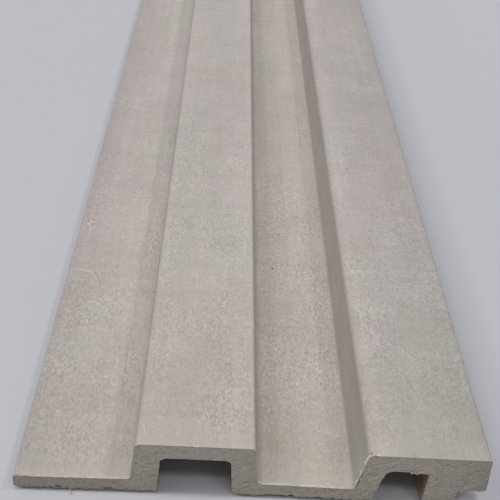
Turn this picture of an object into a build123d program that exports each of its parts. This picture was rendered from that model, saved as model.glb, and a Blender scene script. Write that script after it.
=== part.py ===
"""Two-rib wall batten: one extruded length of foamed plastic lying on its back, ribs up.

The section lies in XZ and runs along Y. X = 0 is the middle of the overall width, Y = 0 the middle
of the length and Z = 0 the flat back that is fixed to the wall. Millimetres.
"""

import os

from build123d import *

# Stock
length = 2900.0
thickness = 18.0  # back to rib crowns

# Face, left to right, measured at the level of the crowns
lip_width = 31.0  # free edge of the lip to the first crown
rib_1_crown = 30.0
groove_width = 28.8  # first crown to second crown
rib_2_crown = 31.3

# Walls
web_thickness = 4.7  # lip and groove floor
crown_1_thickness = 4.7  # over the hollow of each rib
crown_2_thickness = 5.5

# Sideways lean of the rib flanks, crown to web
flank_1_left_run = 1.2
flank_1_right_run = 1.4
flank_2_run = 2.3

# Hollow under the first rib, open at the back
hollow_1_left_inset = 6.4  # crown edge to hollow
hollow_1_right_inset = 5.8
hollow_1_draft = 0.9  # sideways lean of each side, ceiling to back

# Hollow under the second rib, open at the back: its left side follows the flank
leg_2_wall = 6.1  # flank to hollow, measured level
hollow_2_ceiling = 11.2

# Rebate that laps over the lip of the next length
lap_reach = 7.3
lap_clearance = 1.1  # height left over the covered lip
lap_lean = 0.9  # the lapping edge stands out below its crown

# Edge rounding
lip_upper_radius = 0.6
lip_lower_radius = 1.4
lip_foot_radius = 1.2
crown_left_radius = 1.5  # both ribs
crown_1_right_radius = 1.0
groove_left_radius = 2.2
groove_right_radius = 1.2
lap_upper_radius = 0.6
lap_lower_radius = 1.4
rebate_radius = 0.5
hollow_1_ceiling_radius = 1.8
hollow_2_left_radius = 2.4
hollow_2_right_radius = 1.0
leg_radius = 0.8  # feet of the legs at the back
inner_leg_radius = 2.2  # feet of the two legs that carry the groove floor

# Levels
back = 0.0
ceiling_1 = thickness - crown_1_thickness
ceiling_2 = thickness - crown_2_thickness
rebate_level = web_thickness + lap_clearance

# Places across the width
overall_width = lip_width + rib_1_crown + groove_width + rib_2_crown + lap_lean
lip_edge = -overall_width / 2
crown_1_left = lip_edge + lip_width
crown_1_right = crown_1_left + rib_1_crown
crown_2_left = crown_1_right + groove_width
crown_2_right = crown_2_left + rib_2_crown
lap_edge = crown_2_right + lap_lean
leg_side = lap_edge - lap_reach

lip_foot = crown_1_left - flank_1_left_run
groove_left = crown_1_right + flank_1_right_run
groove_right = crown_2_left - flank_2_run
hollow_1_left = crown_1_left + hollow_1_left_inset
hollow_1_right = crown_1_right - hollow_1_right_inset

# The second hollow's left side leans by the flank's run for each millimetre of height
flank_2_lean = flank_2_run / (thickness - web_thickness)
hollow_2_left = crown_2_left - flank_2_lean * crown_2_thickness + leg_2_wall
hollow_2_right = hollow_2_left + hollow_2_ceiling
hollow_2_foot = hollow_2_left - flank_2_lean * ceiling_2

# Section outline, round the back from the lip's lower edge and home over the face
corners = [
    ((lip_edge, back), lip_lower_radius),
    ((hollow_1_left - hollow_1_draft, back), leg_radius),
    ((hollow_1_left, ceiling_1), hollow_1_ceiling_radius),
    ((hollow_1_right, ceiling_1), hollow_1_ceiling_radius),
    ((hollow_1_right + hollow_1_draft, back), inner_leg_radius),
    ((hollow_2_foot, back), inner_leg_radius),
    ((hollow_2_left, ceiling_2), hollow_2_left_radius),
    ((hollow_2_right, ceiling_2), hollow_2_right_radius),
    ((hollow_2_right, back), leg_radius),
    ((leg_side, back), leg_radius),
    ((leg_side, rebate_level), rebate_radius),
    ((lap_edge, rebate_level), lap_lower_radius),
    ((crown_2_right, thickness), lap_upper_radius),
    ((crown_2_left, thickness), crown_left_radius),
    ((groove_right, web_thickness), groove_right_radius),
    ((groove_left, web_thickness), groove_left_radius),
    ((crown_1_right, thickness), crown_1_right_radius),
    ((crown_1_left, thickness), crown_left_radius),
    ((lip_foot, web_thickness), lip_foot_radius),
    ((lip_edge, web_thickness), lip_upper_radius),
]
points = [point for point, radius in corners]
radii = [radius for point, radius in corners]

with BuildPart() as wall_batten:
    with BuildSketch(Plane.XZ):
        with BuildLine():
            FilletPolyline(*points, radius=radii, close=True)
        make_face()
    extrude(amount=length / 2, both=True)

wall_batten.part.label = "wall_batten"
os.makedirs("parts", exist_ok=True)
export_step(wall_batten.part, "parts/wall_batten.step")
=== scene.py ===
"""Looks of the wall batten: embossed film over the face, bare foam behind it and at the sawn ends,
lying on a pale table and seen from above its near end."""

import math

import bmesh
import bpy
import numpy as np
from mathutils import Matrix, Vector, noise
from mathutils.geometry import delaunay_2d_cdt
from mathutils.kdtree import KDTree


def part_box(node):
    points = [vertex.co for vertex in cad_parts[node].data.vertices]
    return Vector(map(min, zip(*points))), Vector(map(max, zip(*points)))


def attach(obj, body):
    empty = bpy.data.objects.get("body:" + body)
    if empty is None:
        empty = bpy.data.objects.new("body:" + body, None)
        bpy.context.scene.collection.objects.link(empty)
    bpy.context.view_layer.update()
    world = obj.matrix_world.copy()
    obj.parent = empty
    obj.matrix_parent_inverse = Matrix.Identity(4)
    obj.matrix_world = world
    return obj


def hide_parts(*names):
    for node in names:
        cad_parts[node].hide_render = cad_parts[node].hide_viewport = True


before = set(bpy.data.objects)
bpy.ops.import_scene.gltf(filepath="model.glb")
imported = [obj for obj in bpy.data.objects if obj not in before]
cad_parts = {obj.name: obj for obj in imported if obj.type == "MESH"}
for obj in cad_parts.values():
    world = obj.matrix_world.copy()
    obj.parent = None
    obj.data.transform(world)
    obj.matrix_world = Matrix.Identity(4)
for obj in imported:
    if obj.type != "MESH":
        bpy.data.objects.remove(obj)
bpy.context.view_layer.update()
NODE = "wall_batten"
LOW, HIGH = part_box(NODE)
MM = 0.001

# The lip's lower corner at the near end, half the height, and the level of the lip and the groove floor
CORNER = Vector((LOW.x, LOW.y, LOW.z))
MIDDLE_LEVEL = LOW.z + 0.5 * (HIGH.z - LOW.z)
WEB_LEVEL = LOW.z + 4.7 * MM

# The photograph's frame and the camera that took it
IMAGE_PX = 500
FOCAL_PX = 869.1
SENSOR_MM = 36.0
CLIP_START = 10 * MM
CAMERA_FROM_CORNER = Vector((46.65, -145.14, 185.36)) * MM
AIM_FROM_CORNER = Vector((59.87, 84.37, 18.0)) * MM
CAMERA_ROLL = math.radians(5.28)

# How near two of the CAD mesh's points are one, how near a point is to the end that it lies on, and what
# stands for nothing in a division
SAME_POINT = 1e-6
AT_END = 1e-5
NOT_ZERO = 1e-12

# Mesh spacing
OUTLINE_STEP = 0.7 * MM
EDGE_STEP = 0.2 * MM
SAWN_STEP = 0.22 * MM
CREASE_STEP = 0.4 * MM
END_RINGS = [d * MM for d in (0.2, 0.5, 0.9, 1.5, 2.5, 4.0, 8.0)]
BODY_RINGS = 28

# Points within an end: height of a row, jitter and clearance from the rim as shares of the spacing
ROW_HEIGHT = 0.866
POINT_JITTER = 0.2
RIM_CLEARANCE = 0.6
POINT_SEED = 5

# Angle past which an edge between faces stays sharp
SHARP_ANGLE = math.radians(50)

# Materials of the batten's faces, in the order of its mesh; the fourth also paints a highlight on the low
# lines along the cut's front edges, and the sixth is a painted highlight on the creases' lit side
FILM, SKIN, SAWN, TORN_AND_RIM_HIGHLIGHT, CORE, CREASE_HIGHLIGHT = range(6)

# Where the film stops behind the edges, and a width that takes in the rebate
FILM_UNDER_LIP = 4.0 * MM
FILM_IN_REBATE = 3.0 * MM
REBATE_DEPTH = 8.0 * MM

# How far behind the cut the sawn foam lies, which leaves the cut film proud of it
SAWN_BACK = 0.05 * MM
FILM_GAUGE = 0.07 * MM

# How much of the roughness at an edge wears it back, for the film and for the bare skin, and how far in
FILM_WEAR = 0.35
SKIN_WEAR = 0.1
WEAR_REACH = 0.8 * MM

# Open cells of the sawn foam: number, half width (mm), depth as a share of that
PORES = 1500
PORE_SIZES = (0.22, 0.60)
PORE_DEPTHS = (0.25, 0.75)

# Share of the height above which the saw cut clean, and the share of the open cells that shows there
CLEAN_ABOVE = 0.72
CLEAN_SHARE = 0.15

# Roughness of the sawn foam (mm): its mean, and the depth of the saw marks and of the grain
ROUGH_MEAN = 0.06
SAW_DEPTH = 0.075
GRAIN_DEPTH = 0.05

# The saw marks' rise for each millimetre across, and their waves per millimetre along and across them
SAW_SLOPE = 0.6
SAW_WAVES = (0.16, 1.3)

# Waves of the saw marks' tone per metre along and across them
SAW_TONE_WAVES = (170, 1300)

# Waves of the grain per millimetre, and the share of each
GRAIN_WAVES = [(0.55, 1.0), (1.5, 0.6), (3.1, 0.5)]

# Breakout along the back, where the saw left the foam: mean height, swing, run and depth (mm), and waves
# per millimetre
BREAKOUT_HEIGHT = 0.10
BREAKOUT_SWING = 0.30
BREAKOUT_RUN = 0.3
BREAKOUT_DEPTH = 0.6
BREAKOUT_WAVES = 0.55

# Raggedness of a chip's outline, and its waves per millimetre
CHIP_SWING = 0.3
CHIP_WAVES = 1.1

# Layers of the noise that the saw marks and the breakout are taken from, and the range that an end's noise
# is shifted by
SAW_LAYER = 3.0
BREAKOUT_LAYER = 7.0
NOISE_RANGE = 50

# Fine lift of the cut film: least and swing (mm), length behind the cut, waves per millimetre
FINE_LIFT = 0.01
FINE_SWING = 0.03
FINE_LENGTH = 0.15 * MM
FINE_WAVES = 0.9

# Burrs: how far they reach past their line, least shares of their height and length, and for each its waves
# per millimetre and what is added to the end's seed
BURR_REACH = 0.5 * MM
BURR_LEAST_HEIGHT = 0.25
BURR_LEAST_LENGTH = 0.4
BURR_HEIGHT_WAVES = 1.6
BURR_LENGTH_WAVES = 1.1
BURR_HEIGHT_SEED = 7
BURR_LENGTH_SEED = 9
NEAR_SEED = 3
FAR_SEED = 31

# How far a burr's tip leans back as a share of its height, at most a share of its length
BURR_LEAN = 0.3
BURR_LEAN_MOST = 0.5

# How far a burr's tail sinks as a share of the film's gauge, and the most that an edge faces down and still
# carries burrs
TAIL_SINK = 0.1
LOWEST_FACING = -0.5

# Finer waves along an edge: their share, and how many go to a broad one
FINER_SHARE = 0.6
FINER_WAVES = 2.7

# Hanging foam: length behind the cut, waves per millimetre and seed, and the height, length and kind of the
# pale line at its tips
SHRED_LENGTH = 1.2 * MM
SHRED_WAVES = 0.8
SHRED_SEED = 41
PALE_TIP = (0.05 * MM, 0.5 * MM, TORN_AND_RIM_HIGHLIGHT)

# Creases: how far their foot is sunk, the share of the length left off at each tip, the power of their
# taper, and the side that is lit
CREASE_SINK = 0.02 * MM
CREASE_TIP = 0.04
CREASE_TAPER = 0.6
LIT_SIDE = np.array((-0.5, -1.0))

# The table: gap that it leaves under the batten, which is not quite straight, reach and number of sides
TABLE_GAP = 0.8 * MM
TABLE_REACH = 30.0
TABLE_SIDES = 64

# Room light: strength of the sky, then the ceiling lamps with their lean from overhead to the right and to
# the back, their spread (degrees), share of full light on level ground and colour
WHITE = (1.0, 1.0, 1.0)
ROSY = (1.06, 0.96, 1.0)
SKY_LEVEL = 0.277
LAMPS = [
    ("overhead", 0, 0, 9, 0.183, WHITE),
    ("left", -30, -4, 14, 0.098, WHITE),
    ("far_left", -45, -4, 14, 0.100, WHITE),
    ("left_front", -30, -20, 14, 0.036, WHITE),
    ("front", 0, -24, 9, 0.077, ROSY),
    ("right_front", 18, -26, 9, 0.062, ROSY),
    ("right", 32, 0, 6, 0.109, WHITE),
]


def rgb(red, green, blue):
    """A linear colour from sRGB values of 0 to 255."""
    def linear(value):
        value /= 255
        return value / 12.92 if value <= 0.04045 else ((value + 0.055) / 1.055) ** 2.4
    return (linear(red), linear(green), linear(blue), 1.0)


# Colours
PRINT_PINK = rgb(184.3, 174.9, 171.8)
PRINT_OLIVE = rgb(181.9, 176.7, 170.6)
PRINT_WARM = rgb(182, 171, 162)
# Painted brown shade at the walls' feet
PAINTED_SHADE_BROWN = rgb(160, 145, 128)
PRINT_FADED = rgb(194, 183, 179)
SKIN_LIGHT = rgb(178, 165, 152)
SKIN_DULL = rgb(170, 158, 146)
# Painted brown shade inside the hollows
HOLLOW_PAINTED_SHADE = rgb(141, 115, 92)
SAWN_WARM = rgb(179.5, 170.3, 160.6)
SAWN_GREEN = rgb(170.7, 165.8, 153.4)
TORN_PRINT = rgb(192, 182, 175)
TORN_BACK = rgb(215, 206, 198)
CORE_SHADE = rgb(214, 204, 195)
CORE_WHITE = rgb(244, 236, 228)
# Painted highlight on the creases' lit side
PAINTED_CREASE_DIM = rgb(178, 170, 164)
PAINTED_CREASE_PALE = rgb(201, 193, 187)
TABLE_GREY = rgb(192, 195, 200)
TABLE_BLUE = rgb(190, 194, 200)
BACKDROP = rgb(187, 189, 195)

# Colour shifts of the film: towards the ends, painted warm shade in the groove and painted cool light on
# the second rib
NEAR_FILTER = (0.990, 1.006, 0.970, 1.0)
PAINTED_WARM_SHADE = (0.993, 1.001, 0.977, 1.0)
PAINTED_COOL_LIGHT = (0.986, 1.005, 1.010, 1.0)

# Painted light and shade of the film and of the sawn foam across the width, darker towards both edges, with
# painted shade in the corners at the ribs' feet and on the lap's edge and painted highlight beside the
# corners: place from the lip's edge (mm), share of the full colour
FILM_PAINTED_SHADE = [
    (0, 0.85), (3, 0.885), (8, 0.94), (15, 0.985), (22, 1.015), (27, 1.0), (34, 1.0), (40, 0.985),
    (52, 0.985), (56, 1.0), (60.6, 1.04), (64.4, 1.01), (67, 1.015), (74, 1.0), (80, 1.01), (86, 1.0),
    (93, 1.02), (97, 0.98), (102, 0.935), (108, 0.905), (116, 0.865), (119.8, 0.845),
]
CORNER_PAINTED_SHADE = [
    (25, 1.0), (26.7, 1.035), (28.2, 1.055), (28.6, 1.035), (29.0, 0.96), (29.4, 0.90), (29.8, 0.86),
    (30.6, 0.83), (31.1, 0.96), (31.6, 1.01), (34, 1.0), (61.0, 1.0), (61.7, 0.96), (62.3, 0.86),
    (62.7, 0.79), (63.1, 0.80), (63.5, 0.88), (63.9, 0.97), (64.5, 1.02), (83.5, 1.0), (85.2, 1.025),
    (86.3, 1.05), (86.9, 1.02), (88, 0.94), (89.6, 0.92), (90.2, 0.92), (91, 0.975), (92.5, 1.01),
    (95, 1.0), (119.8, 1.0), (120.7, 0.92), (121.3, 0.72),
]
SAWN_PAINTED_SHADE = [
    (0, 0.92), (25, 0.95), (31, 1.03), (60, 1.01), (66, 1.05), (86, 1.03), (90, 1.0), (100, 1.03),
    (108, 1.0), (114, 0.95), (121.8, 0.84),
]

# Strength across the width of the painted warm shade in the groove and of the painted cool light on the
# second rib, of the film's flecks and of its emboss, which is faint on the ribs' flanks, and of the saw
# marks' tone
WARM_SHADE_ACROSS = [(60, 0.0), (63, 1.0), (87, 1.0), (90, 0.0)]
COOL_LIGHT_ACROSS = [(88, 0.0), (96, 1.0)]
FILM_FLECKS = [(28, 1.0), (31, 0.85), (60, 0.85), (63, 1.1), (87, 1.1), (90, 0.9)]
FILM_EMBOSS = [
    (28.9, 1.0), (29.8, 0.4), (30.8, 0.4), (31.6, 1.0), (60.4, 1.0), (61.2, 0.4), (62.6, 0.4),
    (63.4, 1.0), (86.8, 1.0), (87.6, 0.3), (89.6, 0.3), (90.4, 1.0),
]
SAW_MARKS = [(84, 0.05), (90, 0.17), (97, 0.17), (101, 0.06)]

# Painted light and shade of the film by distance from the nearer end, a painted highlight at the cut and
# painted shade a little behind it, and the depth of its flecks, as a share of a length
SHADED_LENGTH = 400 * MM
ALONG_PAINTED_SHADE = [
    (0.0, 1.04), (0.01, 1.0), (0.03, 0.97), (0.06, 0.975), (0.16, 1.015), (0.26, 1.015), (0.45, 1.0),
]
FLECKS_ALONG = [(0.28, 1.0), (0.42, 0.7)]

# Dark spots in the film, the last of them a painted shadow behind the burr at the second rib's torn corner:
# place across, along and up from the lip's lower corner, half width (mm), depth of shade
SPOTS_AND_PAINTED_SHADOW = [(68.7, 92.5, 4.7, 0.62, 0.75), (29.3, 116.2, 4.7, 0.6, 0.3), (90.3, 0.9, 17.8, 0.5, 0.5)]

# Painted brown shade at the feet of the ribs' walls near the near end, and faded patches in the film:
# place, half width (mm), strength
WALL_FOOT_PAINTED_SHADE = [
    (27.2, 10.0, 4.7, 3.4, 0.22), (27.6, 16.5, 4.7, 3.2, 0.2), (67.0, 14.0, 4.7, 5.0, 0.15),
    (84.5, 15.0, 4.7, 4.0, 0.15),
]
FADED = [(13.0, 100.0, 4.7, 28.0, 0.45), (14.0, 132.0, 4.7, 30.0, 0.45)]

# Share of a spot's and of a patch's half width over which it is at its strongest
SPOT_CORE = 0.4
PATCH_CORE = 0.2

# How far the saw wandered behind each end's plane: place from the lip's edge, offset (mm)
NEAR_CUT = [
    (0, -0.45), (15, -0.25), (27, 0.0), (45, 0.2), (70, 0.3), (86, 0.05), (105, 0.0), (122, 0.05),
]
FAR_CUT = [(0, 0.2), (30, 0.05), (60, 0.0), (90, 0.15), (122, 0.35)]

# Chips in the ends: place across and up from the lip's lower corner, half width, half height, depth (mm)
NEAR_CHIPS = [
    (0.4, 4.6, 0.5, 0.4, 0.45), (1.2, 4.9, 0.45, 0.35, 0.5), (5.1, 4.8, 0.55, 0.4, 0.4),
    (11.4, 0.6, 1.0, 0.45, 1.5), (24.1, 0.5, 1.3, 0.4, 1.5), (31.2, 10.6, 0.6, 0.5, 0.6),
    (34.8, 10.6, 0.35, 0.3, 0.5), (67.0, 0.0, 3.8, 0.7, 1.0), (71.5, 0.0, 1.4, 0.7, 1.0),
    (78.6, 0.0, 1.6, 0.6, 1.0), (88.3, 7.0, 0.32, 1.7, 0.75), (88.8, 10.2, 0.32, 1.5, 0.6),
    (91.6, 17.1, 0.7, 0.45, 0.6), (101.3, 18.0, 0.6, 0.4, 0.5), (105.7, 18.0, 0.6, 0.4, 0.5),
]
FAR_CHIPS = [
    (3.0, 0.2, 1.6, 0.7, 1.2), (20.0, 4.7, 1.0, 0.5, 0.6), (44.0, 18.0, 1.2, 0.5, 0.6),
    (70.0, 0.1, 2.2, 0.6, 1.1), (110.0, 18.0, 1.3, 0.6, 0.7), (121.0, 7.0, 1.0, 1.4, 0.9),
]

# Burrs where the film tore along the cut, and low pale lines of painted highlight along the front edges:
# from and to, across and up from the lip's lower corner, height, length (mm), and what shows
NEAR_BURRS = [
    ((87.6, 5.4), (89.4, 15.5), 0.5, 0.8, TORN_AND_RIM_HIGHLIGHT), ((89.3, 15.0), (89.9, 17.4), 0.75, 0.9, CORE),
    ((88.6, 11.0), (88.7, 11.6), 0.3, 0.7, CORE), ((88.0, 7.6), (88.1, 8.2), 0.3, 0.7, CORE),
    ((92.5, 18.0), (92.8, 18.0), 0.6, 0.6, CORE), ((46.2, 18.0), (46.6, 18.0), 0.35, 0.5, CORE),
    # Low pale lines along the lip's and the groove's front edges: painted highlight along the cut
    ((5.0, 4.7), (18.0, 4.7), 0.03, 0.5, TORN_AND_RIM_HIGHLIGHT), ((18.0, 4.7), (28.6, 4.7), 0.05, 0.65, TORN_AND_RIM_HIGHLIGHT),
    ((63.0, 5.2), (66.0, 4.7), 0.05, 0.7, TORN_AND_RIM_HIGHLIGHT), ((66.0, 4.7), (86.4, 4.7), 0.06, 0.9, TORN_AND_RIM_HIGHLIGHT),
    ((86.4, 4.7), (87.6, 5.4), 0.3, 0.8, TORN_AND_RIM_HIGHLIGHT),
]
FAR_BURRS = [
    ((29.8, 5.0), (30.8, 16.0), 0.6, 0.5, CORE), ((61.1, 17.6), (61.4, 14.0), 0.7, 0.6, CORE),
    ((112.0, 18.0), (113.0, 18.0), 0.3, 0.5, TORN_AND_RIM_HIGHLIGHT), ((64.0, 4.7), (80.0, 4.7), 0.05, 0.6, TORN_AND_RIM_HIGHLIGHT),
]

# Ragged foam that the saw left hanging from the hollows' ceilings: from and to across, least and most (mm),
# and whether its tips are pale
SHREDS = [
    (37.6, 55.0, 0.04, 0.25, False), (94.4, 100.9, 0.04, 0.25, False), (100.9, 106.1, 0.15, 1.4, True),
]

# Crumbs on the lip's corner and under the lap: place across, along and up from the lip's lower corner, half
# width (mm)
CRUMBS = [
    (0.7, 1.5, 4.75, 0.22), (5.6, 0.5, 4.75, 0.12), (118.2, 0.0, 5.75, 0.16), (118.8, 0.05, 5.8, 0.2),
    (119.5, 0.0, 5.7, 0.14), (120.7, 0.1, 6.2, 0.15), (121.0, 0.3, 6.6, 0.12),
]

# A loose fibre at the lip's foot: places across, along and up from the lip's lower corner (mm), its gauge
FIBRE = [(13.6, 0.5, 0.5), (14.3, -0.3, 0.3), (14.7, -1.0, 0.0), (14.9, -1.5, -0.3)]
FIBRE_GAUGE = 0.22 * MM

# Creases in the film: points across and along from the lip's near corner, width, height (mm)
LIP_CREASES = [
    ([(0.5, 85.4), (4.0, 86.0), (7.6, 85.4), (9.4, 83.5), (10.9, 79.4), (11.6, 77.0), (12.9, 74.1)],
     1.0, 0.31),
    ([(8.3, 70.2), (11.0, 69.4), (14.5, 68.3)], 0.8, 0.25),
    ([(5.7, 121.4), (8.5, 121.8)], 0.8, 0.22),
]
GROOVE_CREASES = [
    ([(75.2, 31.5), (78.5, 30.7), (80.8, 29.4), (82.6, 27.2), (82.2, 26.2), (79.5, 25.4)], 0.8, 0.28),
    ([(74.4, 13.5), (80.0, 14.9), (84.1, 16.0), (85.5, 17.2), (84.5, 18.6), (82.0, 19.3), (77.5, 19.6)],
     0.8, 0.28),
    ([(64.6, 20.6), (65.4, 21.7), (66.0, 20.4)], 0.7, 0.28),
]
RIB_CREASES = [
    ([(96.2, 32.2), (99.8, 31.5), (102.4, 29.3), (103.6, 26.5), (104.8, 22.4), (106.6, 20.1)], 1.0, 0.31),
    ([(90.9, 66.7), (93.0, 67.0)], 0.7, 0.22),
    ([(99.0, 68.2), (103.0, 68.4), (107.0, 67.9)], 0.8, 0.17),
    ([(51.1, 110.2), (53.0, 107.4), (54.7, 106.2)], 0.8, 0.25),
    ([(32.6, 200.0), (40.0, 198.4), (47.0, 199.0), (57.5, 193.2)], 1.3, 0.28),
    ([(36.0, 187.2), (42.0, 185.6), (46.0, 182.0), (51.0, 180.4)], 1.3, 0.28),
]


def from_corner(x, y, z):
    """A place given in millimetres from the lip's lower corner at the near end."""
    return (LOW.x + x * MM, LOW.y + y * MM, LOW.z + z * MM)


def section_loop(node):
    """The near end's outline as an ordered array of (x, z), counter-clockwise seen from the near end."""
    bm = bmesh.new()
    bm.from_mesh(node.data)
    bmesh.ops.remove_doubles(bm, verts=bm.verts, dist=SAME_POINT)

    def at_end(item):
        return all(abs(v.co.y - LOW.y) < AT_END for v in item.verts)

    follow = {}
    for edge in bm.edges:
        if at_end(edge) and sum(at_end(face) for face in edge.link_faces) == 1:
            a, b = edge.verts
            follow.setdefault(a, []).append(b)
            follow.setdefault(b, []).append(a)
    start = min(follow, key=lambda v: (v.co.z, v.co.x))
    loop, last, here = [start], None, start
    while True:
        ahead = [v for v in follow[here] if v is not last]
        last, here = here, ahead[0]
        if here is start:
            break
        loop.append(here)
    points = np.array([(v.co.x, v.co.z) for v in loop])
    bm.free()
    x, z = points[:, 0], points[:, 1]
    area = 0.5 * np.sum(x * np.roll(z, -1) - np.roll(x, -1) * z)
    return points if area > 0 else points[::-1]


def resample(loop, step):
    """The loop with its long straight stretches divided."""
    made = []
    for a, b in zip(loop, np.roll(loop, -1, axis=0)):
        parts = max(1, int(math.ceil(np.linalg.norm(b - a) / step)))
        made += [a + (b - a) * k / parts for k in range(parts)]
    return np.array(made)


def outward(loop):
    """Unit normals of the loop's points, pointing out of the material."""
    along = np.roll(loop, -1, axis=0) - np.roll(loop, 1, axis=0)
    along /= np.linalg.norm(along, axis=1)[:, None]
    return np.stack([along[:, 1], -along[:, 0]], axis=1)


def inside(points, loop):
    """Which points lie inside the loop."""
    x, z = points[:, 0][:, None], points[:, 1][:, None]
    a, b = loop, np.roll(loop, -1, axis=0)
    spans = (a[:, 1] > z) != (b[:, 1] > z)
    rise = np.where(b[:, 1] == a[:, 1], NOT_ZERO, b[:, 1] - a[:, 1])
    cross = a[:, 0] + (z - a[:, 1]) * (b[:, 0] - a[:, 0]) / rise
    return (np.sum(spans & (x < cross), axis=1) % 2) == 1


def film_covers(loop):
    """For each stretch from a point of the loop to the next, whether the face film covers it."""
    count = len(loop)
    x, z = loop[:, 0], loop[:, 1]
    # The weight of the height keeps the choice on the back, and out of the lip's face
    weight = 10
    under_lip = int(np.argmin(np.abs(x - LOW.x - FILM_UNDER_LIP) + weight * np.abs(z - LOW.z)))
    lap = (x > HIGH.x - 2 * FILM_IN_REBATE) & (z < MIDDLE_LEVEL)
    in_rebate = int(np.argmin(np.where(lap, np.abs(x - HIGH.x + FILM_IN_REBATE), 1.0)))
    covered = np.zeros(count, bool)
    k = in_rebate
    while k != under_lip:
        covered[k] = True
        k = (k + 1) % count
    return covered


class SawnEnd:
    """A sawn end: how the cut wanders off its plane, and its saw marks, open cells, breakout and chips."""

    def __init__(self, plane, inwards, seed, wander, chips):
        self.plane, self.inwards = plane, inwards
        rng = np.random.RandomState(seed)
        self.offset = Vector(rng.uniform(0, NOISE_RANGE, 3))
        span = np.array([HIGH.x - LOW.x, HIGH.z - LOW.z])
        places = np.array([LOW.x, LOW.z]) + span * rng.rand(PORES, 2)
        sizes = MM * rng.uniform(*PORE_SIZES, PORES)
        depths = sizes * rng.uniform(*PORE_DEPTHS, PORES)
        # The crowns were cut clean, and the legs and webs tore
        share = np.where(places[:, 1] > LOW.z + CLEAN_ABOVE * span[1], CLEAN_SHARE, 1.0)
        torn = rng.rand(PORES) < share
        self.pores = np.column_stack([places, sizes, depths])[torn]
        self.chips = [
            (LOW.x + x * MM, LOW.z + z * MM, width * MM, height * MM, depth * MM)
            for x, z, width, height, depth in chips
        ]
        self.wander = np.array(wander) * MM + [LOW.x, 0.0]

    def cut(self, x):
        """Where the saw passed at a place across the width."""
        return self.plane + self.inwards * float(np.interp(x, self.wander[:, 0], self.wander[:, 1]))

    def rough(self, x, z):
        """How far the foam stands back from the cut."""
        at = Vector((x, 0.0, z)) / MM + self.offset
        with_saw = SAW_WAVES[0] * (at.x + SAW_SLOPE * at.z)
        over_saw = SAW_WAVES[1] * (at.z - SAW_SLOPE * at.x)
        saw = noise.noise(Vector((with_saw, over_saw, SAW_LAYER)))
        grain = sum(share * noise.noise(at * waves) for waves, share in GRAIN_WAVES)
        back = SAWN_BACK + MM * (ROUGH_MEAN + SAW_DEPTH * saw + GRAIN_DEPTH * grain)
        near = np.hypot(self.pores[:, 0] - x, self.pores[:, 1] - z) / self.pores[:, 2]
        hit = near < 1
        if hit.any():
            back += np.max(self.pores[hit, 3] * (1 - near[hit] ** 2))
        ragged_top = noise.noise(Vector((BREAKOUT_WAVES * at.x, BREAKOUT_LAYER, 0.0)))
        below = BREAKOUT_HEIGHT + BREAKOUT_SWING * ragged_top - (z - LOW.z) / MM
        if below > 0:
            back += MM * BREAKOUT_DEPTH * min(1.0, below / BREAKOUT_RUN)
        for chip_x, chip_z, width, height, depth in self.chips:
            reach = math.hypot((x - chip_x) / width, (z - chip_z) / height)
            reach += CHIP_SWING * noise.noise(at * CHIP_WAVES)
            if reach < 1:
                back += depth * (1 - reach * reach)
        return max(back, 0.0)


def triangulate(loop, step, seed):
    """Interior points and triangles of the loop's inside. Triangles index loop points first, then
    interior ones."""
    rng = np.random.RandomState(seed)
    low, high = loop.min(0), loop.max(0)
    rows = []
    for k, z in enumerate(np.arange(low[1], high[1], step * ROW_HEIGHT)):
        xs = np.arange(low[0] + (k % 2) * step / 2, high[0], step)
        rows.append(np.column_stack([xs, np.full(len(xs), z)]))
    jitter = rng.uniform(-POINT_JITTER, POINT_JITTER, (sum(map(len, rows)), 2))
    grid = np.concatenate(rows) + jitter * step
    grid = grid[inside(grid, loop)]
    tree = KDTree(len(loop))
    for k, p in enumerate(loop):
        tree.insert((p[0], p[1], 0), k)
    tree.balance()
    clear = np.array([tree.find((p[0], p[1], 0))[2] > RIM_CLEARANCE * step for p in grid])
    grid = grid[clear]
    every = np.concatenate([loop, grid])
    count = len(loop)
    rim = [(k, (k + 1) % count) for k in range(count)]
    scale = 1 / MM
    flat = [Vector(p) * scale for p in every]
    inside_only, epsilon = 1, 1e-6
    made = delaunay_2d_cdt(flat, rim, [list(range(count))], inside_only, epsilon)
    _, _, faces, sources, _, _ = made
    return grid, [[sources[v][0] for v in face] for face in faces]


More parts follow.
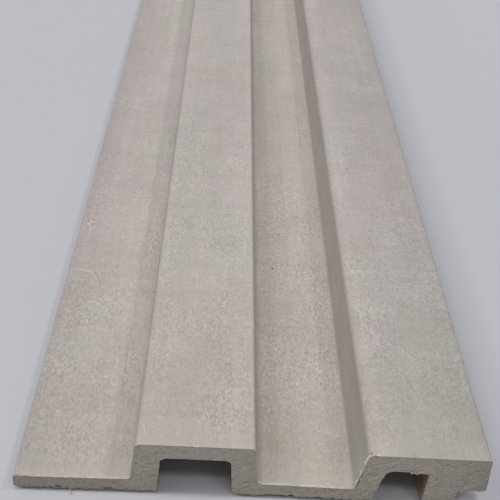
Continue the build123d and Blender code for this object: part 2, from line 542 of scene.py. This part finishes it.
def batten_shell(loop, covered, near_end, far_end):
    """The whole batten as one closed shell, ring by ring along Y, with a rough cap at each end."""
    count = len(loop)
    normals = outward(loop)
    fade = END_RINGS[-1]
    middle = np.linspace(LOW.y + 2 * fade, HIGH.y - 2 * fade, BODY_RINGS)
    depths = [0.0] + END_RINGS
    rings = [(near_end, d) for d in depths]
    rings += [(y, None) for y in middle]
    rings += [(far_end, d) for d in reversed(depths)]
    rough = {end: [end.rough(x, z) for x, z in loop] for end in (near_end, far_end)}
    verts = []
    for end, d in rings:
        for k, (x, z) in enumerate(loop):
            y = end
            if d is not None:
                back = end.inwards * (end.cut(x) - end.plane) + rough[end][k]
                y = end.plane + end.inwards * (d + back * (1 - d / fade))
                share = FILM_WEAR if covered[k] else SKIN_WEAR
                wear = share * rough[end][k] * max(0.0, 1 - d / WEAR_REACH)
                x, z = (x, z) - wear * normals[k]
            verts.append((x, y, z))
    faces, kinds = [], []
    for r in range(len(rings) - 1):
        a, b = r * count, (r + 1) * count
        for k in range(count):
            m = (k + 1) % count
            faces.append((a + k, b + k, b + m, a + m))
            kinds.append(FILM if covered[k] else SKIN)
    for first, end in ((0, near_end), ((len(rings) - 1) * count, far_end)):
        grid, triangles = triangulate(loop, SAWN_STEP, POINT_SEED)
        base = len(verts)
        verts += [(x, end.cut(x) + end.inwards * end.rough(x, z), z) for x, z in grid]
        for triangle in triangles:
            face = [first + v if v < count else base + v - count for v in triangle]
            p = [Vector(verts[v]) for v in face]
            facing = (p[1] - p[0]).cross(p[2] - p[0]).y
            faces.append(face if facing * end.inwards < 0 else face[::-1])
            kinds.append(SAWN)
    return verts, faces, kinds


def wedge(stations):
    """Vertices and faces of a closed strip of triangular section through stations of three points."""
    verts = [point for station in stations for point in station]
    last = 3 * (len(stations) - 1)
    faces = [(0, 2, 1), (last, last + 1, last + 2)]
    for k in range(0, last, 3):
        for m in range(3):
            n = (m + 1) % 3
            faces.append((k + m, k + n, k + 3 + n, k + 3 + m))
    return verts, faces


def cut_edge(path, normals, end, lift):
    """A strip along the cut: it stands off the surface at the end, leans back and dies away behind it.
    Lift gives its height, its length and its kind at a point."""
    stations, kinds = [], []
    for p, n in zip(path, normals):
        high, long, kind = lift(p)
        root, tip, tail = p - FILM_GAUGE * n, p + high * n, p - TAIL_SINK * FILM_GAUGE * n
        front = end.cut(p[0])
        leaning = front + end.inwards * min(BURR_LEAN * high, BURR_LEAN_MOST * long)
        behind = front + end.inwards * long
        corners = ((root, front), (tip, leaning), (tail, behind))
        stations.append([(at[0], y, at[1]) for at, y in corners])
        kinds += 3 * [kind]
    return (*wedge(stations), 2 * kinds[:1] + kinds[:-3])


def ragged(p, waves, seed):
    """Uneven height between 0 and 1 along an edge."""
    at = Vector((p[0] * waves / MM, p[1] * waves / MM, seed))
    return min(1.0, abs(noise.noise(at)) + FINER_SHARE * abs(noise.noise(at * FINER_WAVES)))


def uneven(least, p, waves, seed):
    """Uneven share between a least one and 1 along an edge."""
    return least + (1 - least) * ragged(p, waves, seed)


def burr_lift(burrs, seed):
    """Height, length and kind of the cut film at a point of the outline: a fine lift and the burrs."""
    lines = [
        (np.array(a) * MM, np.array(b) * MM, high * MM, long * MM, kind)
        for a, b, high, long, kind in burrs
    ]

    def lift(p):
        made = MM * (FINE_LIFT + FINE_SWING * ragged(p, FINE_WAVES, seed))
        behind, found = FINE_LENGTH, FILM
        here = p - np.array([LOW.x, LOW.z])
        for a, b, high, long, kind in lines:
            t = np.clip(np.dot(here - a, b - a) / max(np.dot(b - a, b - a), NOT_ZERO), 0, 1)
            off = np.linalg.norm(here - a - t * (b - a)) / BURR_REACH
            if off < 1:
                share = uneven(BURR_LEAST_HEIGHT, p, BURR_HEIGHT_WAVES, seed + BURR_HEIGHT_SEED)
                made += high * (1 - off * off) * share
                share = uneven(BURR_LEAST_LENGTH, p, BURR_LENGTH_WAVES, seed + BURR_LENGTH_SEED)
                behind = max(behind, long * share)
                found = kind
        return made, behind, found

    return lift


def hang(least, most):
    """Height, length and kind of the ragged foam that the saw left hanging from a ceiling."""
    def lift(p):
        return MM * (least + (most - least) * ragged(p, SHRED_WAVES, SHRED_SEED)), SHRED_LENGTH, SAWN

    return lift


def torn_edges(section, near_end, far_end):
    """Torn film along both cuts, with low pale lines of painted highlight along the front edges, and the
    foam that hangs in the hollows at the near end.
    """
    edge = resample(section, EDGE_STEP)
    normals = outward(edge)
    covered = film_covers(edge)
    first = int(np.argmax(covered & ~np.roll(covered, 1)))
    run = (first + np.arange(covered.sum())) % len(edge)
    run = run[normals[run, 1] > LOWEST_FACING]
    shells = []
    for end, burrs, seed in ((near_end, NEAR_BURRS, NEAR_SEED), (far_end, FAR_BURRS, FAR_SEED)):
        shells.append(cut_edge(edge[run], normals[run], end, burr_lift(burrs, seed)))

    x = edge[:, 0]
    ceilings = ~covered & (edge[:, 1] > MIDDLE_LEVEL)
    for left, right, least, most, pale in SHREDS:
        hanging = ceilings & (x > LOW.x + left * MM) & (x < LOW.x + right * MM)
        path, away = edge[hanging], normals[hanging]
        lift = hang(least, most)
        shells.append(cut_edge(path, away, near_end, lift))
        if pale:
            tips = [p + n * lift(p)[0] for p, n in zip(path, away)]
            shells.append(cut_edge(tips, away, near_end, lambda p: PALE_TIP))
    return shells


def crumb(centre, size):
    """A small lump of torn foam."""
    arms = size * np.concatenate([np.eye(3), -np.eye(3)]) + centre
    corners = [(x, y, z) for x in (0, 3) for y in (1, 4) for z in (2, 5)]
    faces = [(x, y, z) if (x < 3) ^ (y < 4) ^ (z < 5) else (x, z, y) for x, y, z in corners]
    return [tuple(p) for p in arms], faces, [CORE] * len(faces)


def smooth_line(points, step):
    """Points at about even steps along a smooth curve through the given ones."""
    p = np.array(points, float)
    p = np.vstack([2 * p[0] - p[1], p, 2 * p[-1] - p[-2]])
    made = []
    for a, b, c, d in zip(p, p[1:], p[2:], p[3:]):
        parts = max(2, int(np.linalg.norm(c - b) / step))
        bend = 2 * a - 5 * b + 4 * c - d
        twist = 3 * b - a - 3 * c + d
        for t in np.arange(parts) / parts:
            made.append(0.5 * (2 * b + (c - a) * t + bend * t ** 2 + twist * t ** 3))
    return np.array(made + [p[-2]])


def loose_fibre():
    """A fibre of the skin that hangs from the lip's foot."""
    line = smooth_line(np.array(FIBRE) * MM, CREASE_STEP) + [LOW.x, LOW.y, LOW.z]
    sides = np.array([(FIBRE_GAUGE, 0, 0), (0, 0, FIBRE_GAUGE), (-FIBRE_GAUGE, 0, 0)]) / 2
    verts, faces = wedge([[tuple(p + side) for side in sides] for p in line])
    return verts, faces, [SKIN] * len(faces)


def crease(points, level, width, height, lit):
    """A low ridge in the film along a smooth line, tapering to nothing at its ends. Lit is what shows on
    its lit side."""
    line = smooth_line(np.array(points) * MM, CREASE_STEP) + [LOW.x, LOW.y]
    along = np.gradient(line, axis=0)
    along /= np.linalg.norm(along, axis=1)[:, None]
    side = np.stack([along[:, 1], -along[:, 0]], axis=1)
    swell = np.sin(np.linspace(CREASE_TIP, 1 - CREASE_TIP, len(line)) * math.pi) ** CREASE_TAPER
    sunk = level - CREASE_SINK
    stations = []
    for p, across, share in zip(line, side, swell):
        reach = across * 0.5 * width * share
        stations.append([(*(p - reach), sunk), (*(p + reach), sunk), (*p, level + height * share)])
    kinds = [FILM, FILM]
    for across in side[:-1]:
        kinds += [FILM, lit, FILM] if across @ LIT_SIDE > 0 else [FILM, FILM, lit]
    return (*wedge(stations), kinds)


def join(shells):
    """One mesh of several shells, each with its vertices, faces and the faces' materials."""
    verts, faces, kinds = [], [], []
    for own_verts, own_faces, own_kinds in shells:
        base = len(verts)
        verts += own_verts
        faces += [[base + v for v in face] for face in own_faces]
        kinds += own_kinds
    mesh = bpy.data.meshes.new("batten")
    mesh.from_pydata(verts, [], faces)
    mesh.polygons.foreach_set("material_index", kinds)
    mesh.polygons.foreach_set("use_smooth", [True] * len(faces))
    mesh.set_sharp_from_angle(angle=SHARP_ANGLE)
    mesh.update()
    return mesh


class Nodes:
    """Short calls for building a material's node tree."""

    # Places of a Mix node's factor and colours among its sockets
    FACTOR, COLOUR_A, COLOUR_B, MIXED = 0, 6, 7, 2

    def __init__(self, name):
        self.material = bpy.data.materials.new(name)
        self.material.use_nodes = True
        self.tree = self.material.node_tree
        self.shader = self.tree.nodes["Principled BSDF"]
        self.place = self.new("ShaderNodeTexCoord").outputs["Object"]

    def new(self, kind, **settings):
        node = self.tree.nodes.new(kind)
        for key, value in settings.items():
            setattr(node, key, value)
        return node

    def put(self, socket, value):
        if isinstance(value, bpy.types.NodeSocket):
            self.tree.links.new(value, socket)
        else:
            socket.default_value = value

    def math(self, operation, a, b=0.0, c=0.0):
        node = self.new("ShaderNodeMath", operation=operation)
        for socket, value in zip(node.inputs, (a, b, c)):
            self.put(socket, value)
        return node.outputs[0]

    def axis(self, name):
        node = self.new("ShaderNodeSeparateXYZ")
        self.put(node.inputs[0], self.place)
        return node.outputs[name]

    def across(self):
        """Place across the width as a share of it."""
        return self.span(self.axis("X"), LOW.x, HIGH.x)

    def to_end(self):
        """Distance from the nearer end."""
        return self.math("SUBTRACT", HIGH.y, self.math("ABSOLUTE", self.axis("Y")))

    def away(self, point):
        """Distance from a point."""
        node = self.new("ShaderNodeVectorMath", operation="DISTANCE")
        self.put(node.inputs[0], self.place)
        node.inputs[1].default_value = point
        return node.outputs["Value"]

    def stretch(self, x, y, z):
        node = self.new("ShaderNodeVectorMath", operation="MULTIPLY")
        self.put(node.inputs[0], self.place)
        node.inputs[1].default_value = (x, y, z)
        return node.outputs[0]

    def vector(self, x, y):
        node = self.new("ShaderNodeCombineXYZ")
        for socket, value in zip(node.inputs, (x, y)):
            self.put(socket, value)
        return node.outputs[0]

    def noise(self, vector, scale, detail=2.0, roughness=0.5, distortion=0.0):
        node = self.new("ShaderNodeTexNoise")
        self.put(node.inputs["Vector"], vector)
        node.inputs["Scale"].default_value = scale
        node.inputs["Detail"].default_value = detail
        node.inputs["Roughness"].default_value = roughness
        node.inputs["Distortion"].default_value = distortion
        return node.outputs["Fac"]

    def cells(self, vector, scale, feature="F1"):
        node = self.new("ShaderNodeTexVoronoi", feature=feature)
        self.put(node.inputs["Vector"], vector)
        node.inputs["Scale"].default_value = scale
        return node.outputs["Distance"]

    def span(self, value, low, high, to_low=0.0, to_high=1.0, smooth=False):
        kind = "SMOOTHSTEP" if smooth else "LINEAR"
        node = self.new("ShaderNodeMapRange", interpolation_type=kind)
        limits = {"From Min": low, "From Max": high, "To Min": to_low, "To Max": to_high}
        for name, number in limits.items():
            node.inputs[name].default_value = number
        self.put(node.inputs["Value"], value)
        return node.outputs["Result"]

    def ramp(self, value, stops):
        """A grey curve through (place, value) stops."""
        node = self.new("ShaderNodeValToRGB")
        ramp = node.color_ramp
        while len(ramp.elements) < len(stops):
            ramp.elements.new(0.5)
        for element, (place, grey) in zip(ramp.elements, stops):
            element.position = place
            element.color = (grey, grey, grey, 1)
        self.put(node.inputs["Fac"], value)
        return node.outputs["Color"]

    def mix(self, factor, a, b, blend="MIX"):
        node = self.new("ShaderNodeMix", data_type="RGBA", blend_type=blend)
        self.put(node.inputs[self.FACTOR], factor)
        self.put(node.inputs[self.COLOUR_A], a)
        self.put(node.inputs[self.COLOUR_B], b)
        return node.outputs[self.MIXED]

    def times(self, colour, factor):
        node = self.new("ShaderNodeVectorMath", operation="SCALE")
        self.put(node.inputs[0], colour)
        self.put(node.inputs["Scale"], factor)
        return node.outputs[0]

    def shade(self, tone, value, low, high, to_low=0.0, to_high=1.0, smooth=False):
        """Tone times the span of a value."""
        return self.math("MULTIPLY", tone, self.span(value, low, high, to_low, to_high, smooth))

    def lift(self, tone, depth, where):
        """Tone raised by a depth where it applies, or lowered by a negative one."""
        return self.math("MULTIPLY", tone, self.math("ADD", 1.0, self.math("MULTIPLY", depth, where)))

    def bump(self, height, strength, distance, before=None):
        node = self.new("ShaderNodeBump")
        node.inputs["Strength"].default_value = strength
        node.inputs["Distance"].default_value = distance
        self.put(node.inputs["Height"], height)
        if before is not None:
            self.put(node.inputs["Normal"], before)
        return node.outputs["Normal"]

    def surface(self, colour, roughness, specular=0.5, normal=None):
        """The finished material."""
        inputs = self.shader.inputs
        self.put(inputs["Base Color"], colour)
        self.put(inputs["Roughness"], roughness)
        self.put(inputs["Specular IOR Level"], specular)
        if normal is not None:
            self.put(inputs["Normal"], normal)
        return self.material


def over_width(stops):
    """Stops by place from the lip's edge in millimetres as stops by share of the width."""
    return [(place * MM / (HIGH.x - LOW.x), value) for place, value in stops]


def film_colour(n, to_end, across):
    """Pinkish and olive mottling of the print with its warm patches, shifts of hue, fading, painted warm
    shade in the groove, painted cool light on the second rib and painted brown shade at the walls' feet.
    """
    broad = n.noise(n.stretch(1, 0.5, 1), scale=36)
    small = n.noise(n.stretch(1, 0.7, 1), scale=150)
    tint = n.math("ADD", n.math("MULTIPLY", broad, 0.55), n.math("MULTIPLY", small, 0.45))
    tint = n.shade(n.math("SUBTRACT", tint, 0.5), to_end, 20 * MM, 80 * MM, 0.6, 1.0)
    colour = n.mix(n.span(tint, -0.085, 0.085), PRINT_PINK, PRINT_OLIVE)
    near = n.span(to_end, 10 * MM, 120 * MM, 1.0, 0.0)
    colour = n.mix(near, colour, NEAR_FILTER, "MULTIPLY")
    warm = n.span(n.noise(n.stretch(1, 0.35, 1), scale=75), 0.56, 0.74)
    colour = n.mix(n.math("MULTIPLY", warm, 0.35), colour, PRINT_WARM)
    # Painted cool light on the second rib and painted warm shade in the groove
    colour = n.mix(n.ramp(across, over_width(COOL_LIGHT_ACROSS)), colour, PAINTED_COOL_LIGHT, "MULTIPLY")
    colour = n.mix(n.ramp(across, over_width(WARM_SHADE_ACROSS)), colour, PAINTED_WARM_SHADE, "MULTIPLY")
    # Painted brown shade at the walls' feet near the end, and faded patches
    for patches, changed in ((WALL_FOOT_PAINTED_SHADE, PAINTED_SHADE_BROWN), (FADED, PRINT_FADED)):
        for x, y, z, size, strength in patches:
            off = n.away(from_corner(x, y, z))
            patch = n.span(off, PATCH_CORE * size * MM, size * MM, strength, 0.0)
            colour = n.mix(patch, colour, changed)
    return colour


def film_tone(n, along, across):
    """Shade of the film: painted light and shade across the width, in the corners and along from the ends,
    tone that varies in clouds and in streaks both ways, and dark spots, one of them a painted shadow.
    """
    # Painted light and shade across the width, painted shade in the corners, and painted light and shade
    # along from the ends
    tone = n.ramp(across, over_width(FILM_PAINTED_SHADE))
    tone = n.math("MULTIPLY", tone, n.ramp(across, over_width(CORNER_PAINTED_SHADE)))
    tone = n.math("MULTIPLY", tone, n.ramp(along, ALONG_PAINTED_SHADE))
    clouds = n.noise(n.stretch(1, 0.45, 1), scale=26, detail=3)
    tone = n.shade(tone, clouds, 0.3, 0.7, 0.97, 1.03)
    mottle = n.noise(n.stretch(1, 0.55, 1), scale=105)
    tone = n.shade(tone, mottle, 0.3, 0.7, 0.955, 1.045)
    streaks = n.noise(n.stretch(420, 2.5, 420), scale=1.0, detail=4, roughness=0.6)
    tone = n.shade(tone, streaks, 0.25, 0.75, 0.955, 1.045)
    cross = n.noise(n.stretch(18, 300, 18), scale=1.0, detail=4, roughness=0.6)
    tone = n.shade(tone, cross, 0.3, 0.7, 0.965, 1.035)
    for x, y, z, size, depth in SPOTS_AND_PAINTED_SHADOW:
        off = n.away(from_corner(x, y, z))
        tone = n.shade(tone, off, SPOT_CORE * size * MM, size * MM, 1 - depth, 1.0)
    return tone


def film_flecks(n, tone, grain, patchy, across):
    """Tone with the print's flecks and squiggles, which come in patches, its pale specks and dark pits."""
    fleck = n.span(grain, 0.16, 0.50, -0.19, 0.19)
    fleck = n.math("MULTIPLY", fleck, n.ramp(across, over_width(FILM_FLECKS)))
    tone = n.lift(tone, fleck, patchy)
    squiggle = n.noise(n.stretch(1, 0.6, 1), scale=800, detail=1, distortion=0.8)
    squiggle = n.math("ABSOLUTE", n.math("SUBTRACT", squiggle, 0.5))
    tone = n.lift(tone, n.span(squiggle, 0.0, 0.05, 0.16, -0.04), patchy)
    specks = n.span(n.cells(n.place, scale=640), 0.06, 0.17, 0.30, 0.0)
    few = n.span(n.noise(n.place, scale=330, detail=1), 0.50, 0.58)
    tone = n.lift(tone, specks, few)
    pits = n.span(n.cells(n.stretch(1.0, 0.9, 1.1), scale=560), 0.05, 0.15, -0.30, 0.0)
    rare = n.span(n.noise(n.place, scale=250, detail=1), 0.46, 0.38)
    return n.lift(tone, pits, rare)


def film_material():
    """Matte printed film with a pebbled emboss."""
    n = Nodes("face_film")
    to_end, across = n.to_end(), n.across()
    along = n.span(to_end, 0.0, SHADED_LENGTH)
    emboss = n.ramp(across, over_width(FILM_EMBOSS))
    worm = n.noise(n.stretch(1, 0.45, 1), scale=1500, detail=3, roughness=0.62, distortion=1.2)
    pebble = n.cells(n.stretch(1, 0.7, 1), scale=1500, feature="SMOOTH_F1")
    grain = n.math("SUBTRACT", worm, n.math("MULTIPLY", pebble, 0.35))

    patchy = n.span(n.noise(n.stretch(1, 0.6, 1), scale=60), 0.38, 0.64, 0.45, 1.0)
    patchy = n.shade(patchy, to_end, 2 * MM, 8 * MM, 0.4, 1.0)
    patchy = n.math("MULTIPLY", patchy, emboss)
    patchy = n.math("MULTIPLY", patchy, n.ramp(along, FLECKS_ALONG))

    tone = film_flecks(n, film_tone(n, along, across), grain, patchy, across)
    colour = n.times(film_colour(n, to_end, across), tone)
    normal = n.bump(n.math("MULTIPLY", grain, emboss), strength=0.6, distance=0.22 * MM)
    wave = n.noise(n.stretch(1, 0.4, 1), scale=120)
    normal = n.bump(wave, strength=0.25, distance=0.6 * MM, before=normal)
    roughness = n.span(worm, 0.3, 0.7, 0.62, 0.50)
    return n.surface(colour, roughness, specular=0.4, normal=normal)


def skin_material():
    """Extruded skin of the back and hollows: bare foam with faint die lines, and painted brown shade deeper
    inside the hollows.
    """
    n = Nodes("foam_skin")
    lines = n.noise(n.stretch(900, 1.5, 900), scale=1.0, detail=3, roughness=0.6)
    clouds = n.noise(n.stretch(1, 0.3, 1), scale=60, detail=3)
    # Painted brown shade inside the hollows: not in the rebate, fading in over the first 2.5 mm from the
    # end and over the lowest 3 mm
    within = n.math("LESS_THAN", n.axis("X"), HIGH.x - REBATE_DEPTH)
    within = n.shade(within, n.to_end(), 0.0, 2.5 * MM)
    within = n.shade(within, n.axis("Z"), LOW.z + 0.5 * MM, LOW.z + 3 * MM)
    colour = n.mix(n.span(clouds, 0.35, 0.65), SKIN_LIGHT, SKIN_DULL)
    colour = n.mix(within, colour, HOLLOW_PAINTED_SHADE)
    tone = n.span(lines, 0.3, 0.7, 0.95, 1.05)
    tone = n.shade(tone, n.noise(n.place, scale=1400), 0.3, 0.7, 0.96, 1.04)
    normal = n.bump(lines, strength=0.4, distance=0.12 * MM)
    roughness = n.span(clouds, 0.3, 0.7, 0.48, 0.6)
    return n.surface(n.times(colour, tone), roughness, specular=0.4, normal=normal)


def sawn_material():
    """Sawn foam: open cells and torn fibres, a little darker than the film, with painted shade across the
    width, towards the back and in a band along it.
    """
    n = Nodes("sawn_foam")
    cells = n.cells(n.place, scale=2100)
    grain = n.noise(n.place, scale=1700, detail=5, roughness=0.68)
    clouds = n.noise(n.place, scale=260, detail=3)
    across, height = n.across(), n.axis("Z")
    colour = n.mix(n.span(clouds, 0.35, 0.65), SAWN_WARM, SAWN_GREEN)
    # Painted shade across the width
    tone = n.shade(n.ramp(across, over_width(SAWN_PAINTED_SHADE)), grain, 0.28, 0.72, 0.76, 1.20)
    tone = n.shade(tone, cells, 0.05, 0.5, 0.88, 1.07)
    # Painted shade over the lowest 10 mm, darkest at the back
    tone = n.shade(tone, height, LOW.z, LOW.z + 10 * MM, 0.90, 1.0, smooth=True)
    with_saw = n.math("MULTIPLY_ADD", height, SAW_SLOPE, n.axis("X"))
    over_saw = n.math("MULTIPLY_ADD", n.axis("X"), -SAW_SLOPE, height)
    with_saw = n.math("MULTIPLY", with_saw, SAW_TONE_WAVES[0])
    over_saw = n.math("MULTIPLY", over_saw, SAW_TONE_WAVES[1])
    marks = n.span(n.noise(n.vector(with_saw, over_saw), scale=1.0), 0.3, 0.7, -1.0, 1.0)
    tone = n.lift(tone, marks, n.ramp(across, over_width(SAW_MARKS)))
    # Deeper painted shade over the lowest millimetre
    tone = n.shade(tone, height, LOW.z + 0.2 * MM, LOW.z + 0.9 * MM, 0.75, 1.0, smooth=True)
    specks = n.span(n.cells(n.place, scale=900), 0.06, 0.17, 0.22, 0.0)
    few = n.span(n.noise(n.place, scale=420, detail=1), 0.52, 0.60)
    tone = n.lift(tone, specks, few)
    relief = n.math("ADD", grain, n.math("MULTIPLY", cells, 0.5))
    normal = n.bump(relief, strength=0.6, distance=0.3 * MM)
    return n.surface(n.times(colour, tone), roughness=0.85, specular=0.25, normal=normal)


def torn_and_rim_highlight_material():
    """Torn film, where its pale back shows between shreds of the print; on the low lines along the front
    edges of the cut the same pale is a painted highlight.
    """
    n = Nodes("torn_film_and_rim_highlight")
    fibres = n.noise(n.place, scale=2600, detail=3, roughness=0.6)
    patches = n.noise(n.place, scale=520)
    bare = n.math("ADD", n.math("MULTIPLY", fibres, 0.5), n.math("MULTIPLY", patches, 0.5))
    colour = n.mix(n.span(bare, 0.40, 0.60), TORN_PRINT, TORN_BACK)
    return n.surface(colour, roughness=0.7, normal=n.bump(fibres, strength=0.5, distance=0.1 * MM))


def core_material():
    """White fibres of torn foam."""
    n = Nodes("torn_core")
    fibres = n.noise(n.place, scale=1900, detail=3, roughness=0.6)
    colour = n.mix(n.span(fibres, 0.38, 0.6), CORE_SHADE, CORE_WHITE)
    return n.surface(colour, roughness=0.75, normal=n.bump(fibres, strength=0.5, distance=0.1 * MM))


def crease_highlight_material():
    """Painted highlight on the lit side of the film's creases."""
    n = Nodes("crease_painted_highlight")
    worn = n.noise(n.place, scale=700)
    return n.surface(n.mix(n.span(worn, 0.42, 0.58), PAINTED_CREASE_DIM, PAINTED_CREASE_PALE), roughness=0.55)


def table_material():
    """Pale table top with a faint unevenness of tone."""
    n = Nodes("pale_table")
    clouds = n.noise(n.place, scale=3.0, detail=3)
    return n.surface(n.mix(clouds, TABLE_GREY, TABLE_BLUE), roughness=0.6, specular=0.3)


def make_batten():
    """The one piece that is seen in place of the CAD node."""
    section = section_loop(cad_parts[NODE])
    outline = resample(section, OUTLINE_STEP)
    near_end = SawnEnd(LOW.y, inwards=1, seed=11, wander=NEAR_CUT, chips=NEAR_CHIPS)
    far_end = SawnEnd(HIGH.y, inwards=-1, seed=23, wander=FAR_CUT, chips=FAR_CHIPS)
    shells = [batten_shell(outline, film_covers(outline), near_end, far_end)]
    shells += torn_edges(section, near_end, far_end)
    for x, y, z, size in CRUMBS:
        shells.append(crumb(np.array(from_corner(x, y, z)), size * MM))
    shells.append(loose_fibre())
    # The creases on the lip and in the groove get a painted highlight on their lit side
    webs = [(LIP_CREASES, WEB_LEVEL, CREASE_HIGHLIGHT), (GROOVE_CREASES, WEB_LEVEL, CREASE_HIGHLIGHT)]
    for creases, level, lit in webs + [(RIB_CREASES, HIGH.z, FILM)]:
        for points, width, height in creases:
            shells.append(crease(points, level, width * MM, height * MM, lit))

    mesh = join(shells)
    film, skin, sawn = film_material(), skin_material(), sawn_material()
    for made in (film, skin, sawn, torn_and_rim_highlight_material(), core_material(), crease_highlight_material()):
        mesh.materials.append(made)
    batten = bpy.data.objects.new("batten", mesh)
    bpy.context.scene.collection.objects.link(batten)
    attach(batten, "root")
    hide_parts(NODE)


def lay_table():
    """A broad pale table just under the batten."""
    mesh = bpy.data.meshes.new("table")
    turns = np.linspace(0, 2 * math.pi, TABLE_SIDES, endpoint=False)
    level = LOW.z - TABLE_GAP
    ring = [(TABLE_REACH * math.cos(a), TABLE_REACH * math.sin(a), level) for a in turns]
    mesh.from_pydata(ring, [], [list(range(len(ring)))])
    mesh.materials.append(table_material())
    table = bpy.data.objects.new("table", mesh)
    bpy.context.scene.collection.objects.link(table)


def sun(name, lean_right, lean_back, spread, level, colour):
    """A distant lamp that leans from overhead by two angles. Level is its light on level ground."""
    data = bpy.data.lights.new(name, "SUN")
    data.color = colour
    data.angle = math.radians(spread)
    right, back = math.tan(math.radians(lean_right)), math.tan(math.radians(lean_back))
    towards = Vector((right, back, 1.0)).normalized()
    data.energy = level * math.pi / towards.z
    lamp = bpy.data.objects.new(name, data)
    lamp.rotation_euler = towards.to_track_quat("Z", "Y").to_euler()
    bpy.context.scene.collection.objects.link(lamp)


def light():
    """Room light: an even sky and a scatter of ceiling lamps, most of them overhead and to the left."""
    world = bpy.data.worlds.new("room")
    world.use_nodes = True
    nodes, links = world.node_tree.nodes, world.node_tree.links
    sky = nodes["Background"]
    sky.inputs["Color"].default_value = (*WHITE, 1.0)
    sky.inputs["Strength"].default_value = SKY_LEVEL
    # The room that is seen, by itself or mirrored, is as pale as the table
    backdrop = nodes.new("ShaderNodeBackground")
    backdrop.inputs["Color"].default_value = BACKDROP
    ray = nodes.new("ShaderNodeLightPath").outputs
    mirrored, seen = [nodes.new("ShaderNodeMath") for _ in range(2)]
    mirrored.operation = seen.operation = "MAXIMUM"
    links.new(ray["Is Glossy Ray"], mirrored.inputs[0])
    links.new(ray["Is Transmission Ray"], mirrored.inputs[1])
    links.new(ray["Is Camera Ray"], seen.inputs[0])
    links.new(mirrored.outputs[0], seen.inputs[1])
    choice = nodes.new("ShaderNodeMixShader")
    for socket, source in zip(choice.inputs, (seen, sky, backdrop)):
        links.new(source.outputs[0], socket)
    links.new(choice.outputs[0], nodes["World Output"].inputs["Surface"])
    bpy.context.scene.world = world
    for lamp in LAMPS:
        sun(*lamp)


def point_camera():
    """The photograph's camera: place, aim and a slight roll."""
    data = bpy.data.cameras.new("camera")
    data.sensor_width = SENSOR_MM
    data.sensor_fit = "HORIZONTAL"
    data.lens = FOCAL_PX / IMAGE_PX * SENSOR_MM
    data.clip_start = CLIP_START
    camera = bpy.data.objects.new("camera", data)
    place = CORNER + CAMERA_FROM_CORNER
    look = (CORNER + AIM_FROM_CORNER) - place
    turn = look.to_track_quat("-Z", "Y").to_matrix() @ Matrix.Rotation(CAMERA_ROLL, 3, "Z")
    camera.matrix_world = Matrix.Translation(place) @ turn.to_4x4()
    bpy.context.scene.collection.objects.link(camera)
    bpy.context.scene.camera = camera


make_batten()
lay_table()
light()
point_camera()
bpy.context.scene.view_settings.view_transform = "Standard"
